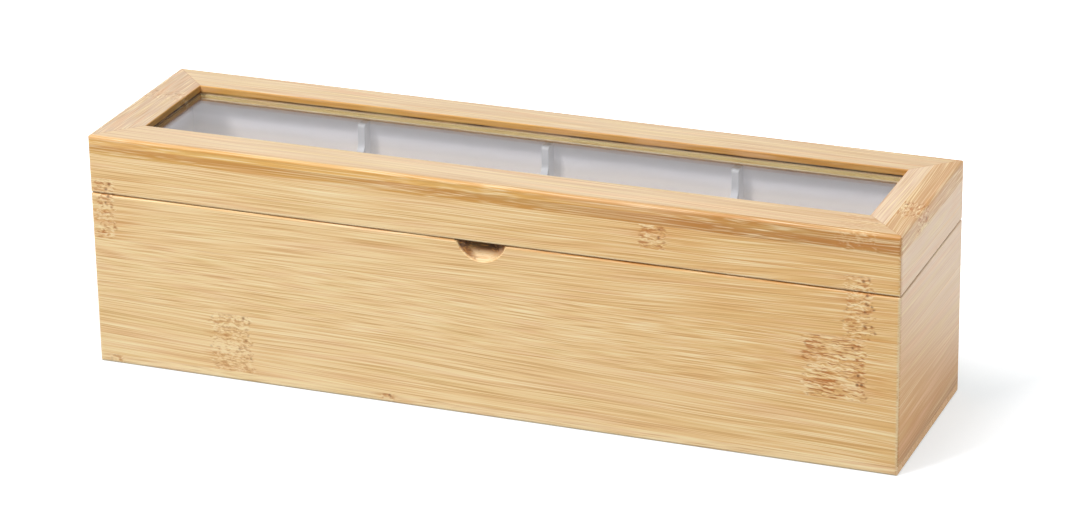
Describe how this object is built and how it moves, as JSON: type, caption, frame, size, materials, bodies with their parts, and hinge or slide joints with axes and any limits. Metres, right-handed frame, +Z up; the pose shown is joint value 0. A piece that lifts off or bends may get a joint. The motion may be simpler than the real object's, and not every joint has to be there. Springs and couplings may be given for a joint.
{
  "type": "tea bag organizer box",
  "caption": "Slim bamboo tea box with a hinged lid, a long clear window in a mitred frame, a white lining with divider panels and a half-moon thumb scoop.",
  "frame": {"origin": "middle of the underside of the box", "axes": "+X to the right along the box's length, +Y from the front with the thumb scoop to the back with the hinges, +Z up"},
  "size_m": [0.344, 0.0878, 0.1],
  "materials": {
    "bamboo": "laminated natural bamboo with a satin clear coat",
    "bamboo_rails": "laminated natural bamboo, more golden, with a satin clear coat",
    "white_lining": "white satin lacquer on fibreboard",
    "clear_pane": "clear polished acrylic sheet",
    "brass": "polished brass",
    "steel": "plated steel"
  },
  "bodies": {
    "base": {"base_front_panel": "bamboo", "base_right_panel": "bamboo", "base_back_panel": "bamboo", "base_left_panel": "bamboo", "bottom_board": "bamboo", "lining_floor": "white_lining", "lining_front": "white_lining", "lining_right": "white_lining", "lining_back": "white_lining", "lining_left": "white_lining", "divider_left": "white_lining", "divider_middle": "white_lining", "divider_right": "white_lining", "left_hinge_base_leaf": "brass", "right_hinge_base_leaf": "brass", "left_hinge_pin": "steel", "right_hinge_pin": "steel", "base_hinge_screws": "steel"},
    "lid": {"lid_front_wall": "bamboo", "lid_right_wall": "bamboo", "lid_back_wall": "bamboo", "lid_left_wall": "bamboo", "frame_front_rail": "bamboo_rails", "frame_right_rail": "bamboo_rails", "frame_back_rail": "bamboo_rails", "frame_left_rail": "bamboo_rails", "window_pane": "clear_pane", "left_hinge_lid_leaf": "brass", "right_hinge_lid_leaf": "brass", "lid_hinge_screws": "steel"}
  },
  "joints": [
    {"name": "lid_hinge", "type": "hinge", "parent": "base", "child": "lid", "pos_m": [0, 0.0424, 0.075], "axis": [-1, 0, 0], "range_deg": [0, 100]}
  ]
}
